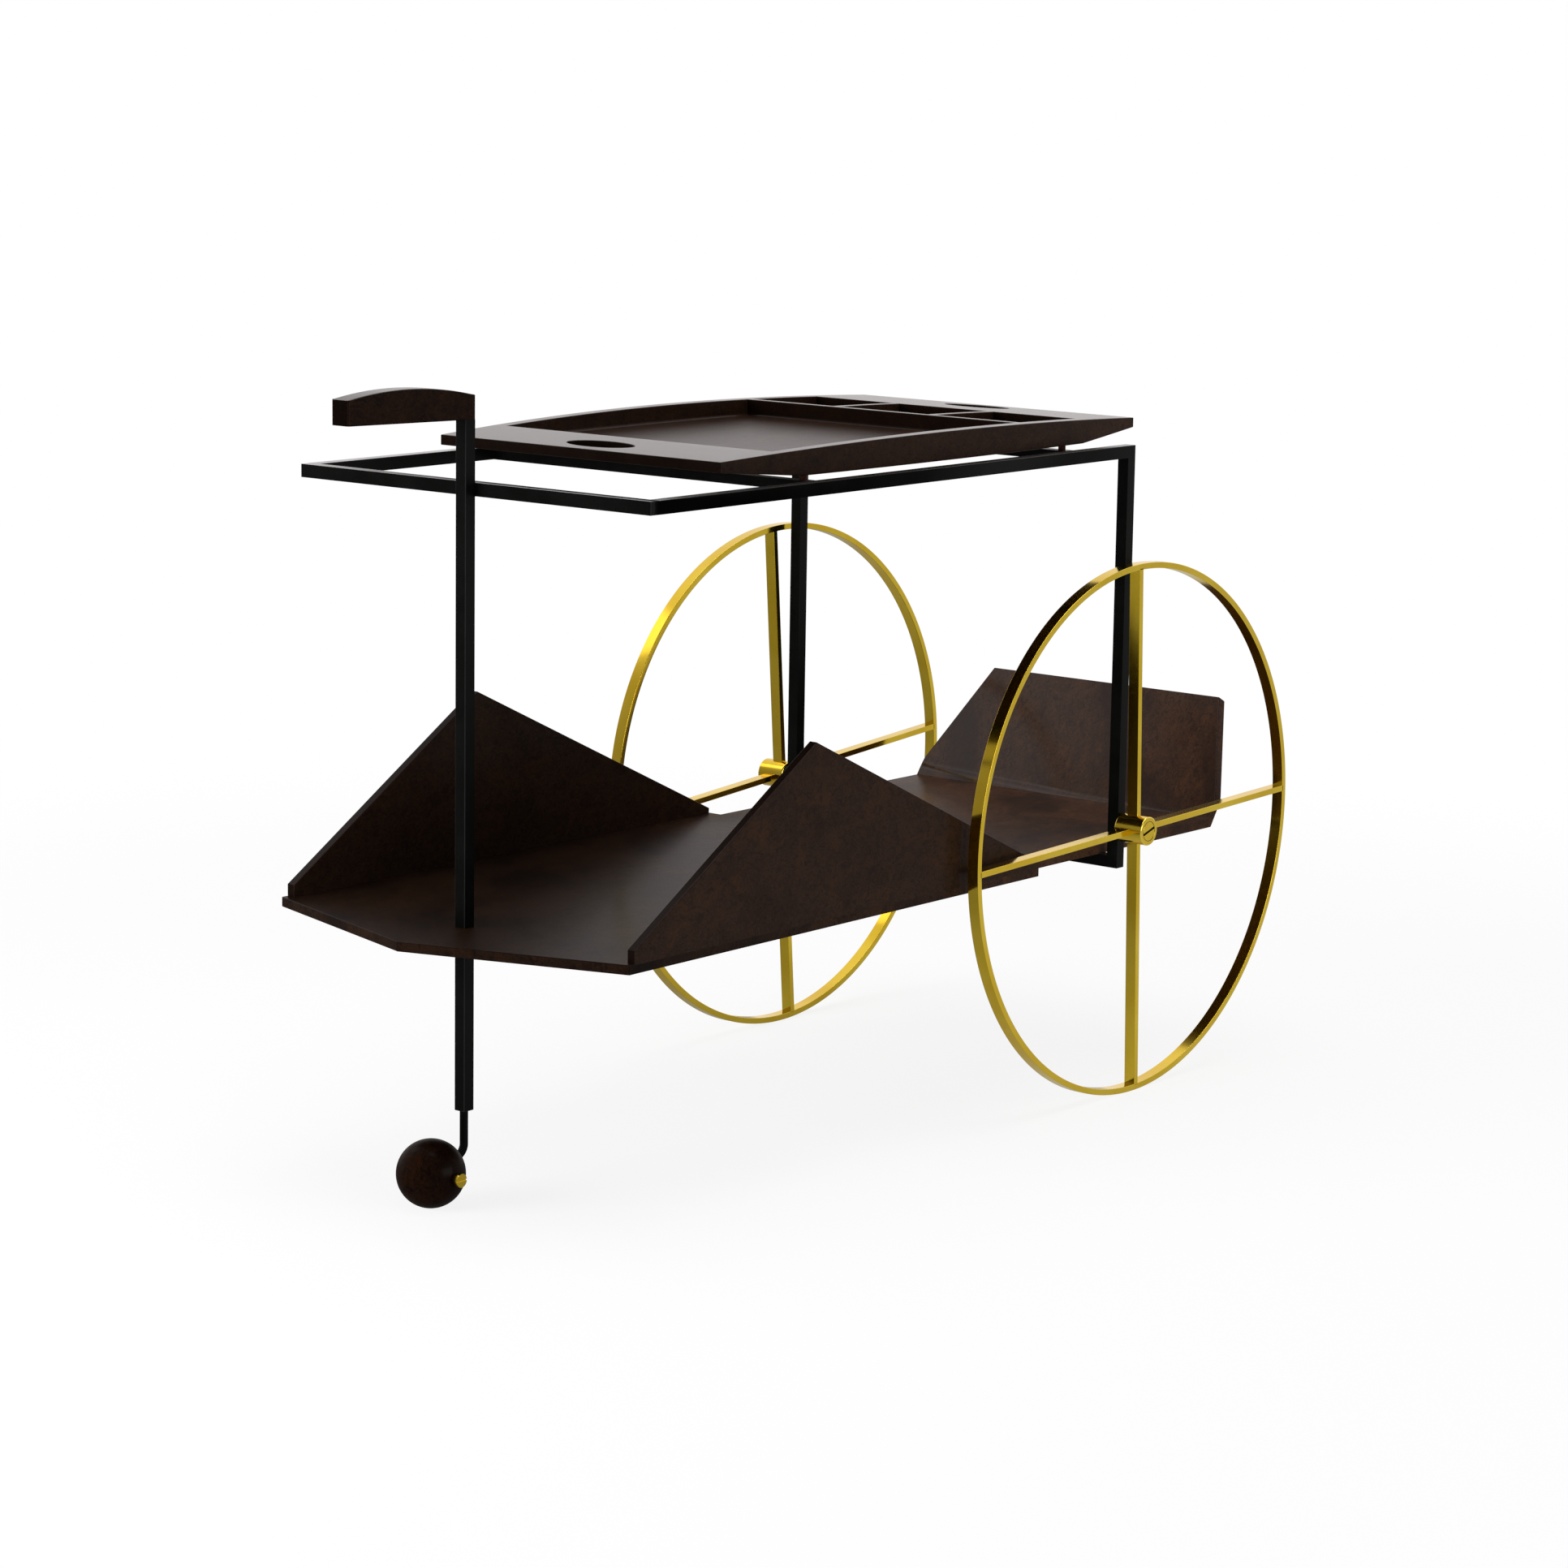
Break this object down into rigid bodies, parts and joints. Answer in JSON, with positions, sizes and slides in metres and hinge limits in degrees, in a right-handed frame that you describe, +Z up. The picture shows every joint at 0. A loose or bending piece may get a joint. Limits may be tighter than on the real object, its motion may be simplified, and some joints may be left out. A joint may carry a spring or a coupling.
{
  "type": "tea trolley",
  "caption": "Tea trolley with a lift-off arched wooden tray, a wooden shelf with peaked sides, a black bar frame, big brass spoked wheels and a ball castor.",
  "frame": {"origin": "on the floor, under the middle of the trolley's length and width", "axes": "+X from the hand grip towards the big wheels, +Y to the left of someone who stands at the grip and looks along +X, +Z up"},
  "size_m": [1.207, 0.5124, 0.7672],
  "materials": {
    "black_steel": "satin black",
    "dark_wood": "satin, stained very dark brown",
    "brown_wood": "satin, stained reddish brown",
    "brass": "polished",
    "plain_steel": "plain",
    "nylon": "black, dull"
  },
  "bodies": {
    "frame": {"end_rail": "black_steel", "side_rail_right": "black_steel", "side_rail_left": "black_steel", "tray_crossbar_front": "black_steel", "tray_crossbar_rear": "black_steel", "rear_leg_right": "black_steel", "rear_leg_left": "black_steel", "shelf_crossbar": "black_steel", "front_post": "black_steel", "handle_grip": "dark_wood", "shelf_board": "dark_wood", "side_panel_right": "dark_wood", "side_panel_left": "dark_wood", "grip_stud": "plain_steel", "panel_screws": "plain_steel", "shelf_screws": "plain_steel", "swivel_bush": "brass", "axle_right": "plain_steel", "axle_left": "plain_steel", "axle_washer_right": "nylon", "axle_washer_left": "nylon", "hub_screw_right": "brass", "hub_screw_left": "brass"},
    "wheel_right": {"wheel_rim_right": "brass", "spoke_right_1": "brass", "spoke_right_2": "brass", "spoke_right_3": "brass", "spoke_right_4": "brass", "wheel_hub_right": "brass", "hub_bush_right": "nylon"},
    "wheel_left": {"wheel_rim_left": "brass", "spoke_left_1": "brass", "spoke_left_2": "brass", "spoke_left_3": "brass", "spoke_left_4": "brass", "wheel_hub_left": "brass", "hub_bush_left": "nylon"},
    "castor": {"castor_stem": "black_steel", "stem_ring": "plain_steel", "ball_axle": "brass", "ball_washer": "nylon"},
    "ball": {"castor_ball": "dark_wood", "ball_bush": "nylon"},
    "tray": {"tray_side_right": "dark_wood", "tray_side_left": "dark_wood", "tray_end_front": "dark_wood", "tray_end_rear": "dark_wood", "tray_floor": "dark_wood", "tray_divider_long": "dark_wood", "tray_divider_right": "dark_wood", "tray_divider_left": "dark_wood", "tray_pegs": "brown_wood"}
  },
  "joints": [
    {"name": "wheel_right_spin", "type": "hinge", "parent": "frame", "child": "wheel_right", "pos_m": [0.31564, -0.24, 0.27825], "axis": [0, 1, 0], "continuous": true},
    {"name": "wheel_left_spin", "type": "hinge", "parent": "frame", "child": "wheel_left", "pos_m": [0.31564, 0.24, 0.27825], "axis": [0, 1, 0], "continuous": true},
    {"name": "castor_swivel", "type": "hinge", "parent": "frame", "child": "castor", "pos_m": [-0.44086, 0, 0.09], "axis": [0, 0, 1], "continuous": true},
    {"name": "ball_spin", "type": "hinge", "parent": "castor", "child": "ball", "pos_m": [-0.49981, -0.0135, 0.0328], "axis": [0, 1, 0], "continuous": true},
    {"name": "tray_lift", "type": "slide", "parent": "frame", "child": "tray", "axis": [0, 0, 1], "range_m": [0, 0.3]}
  ]
}
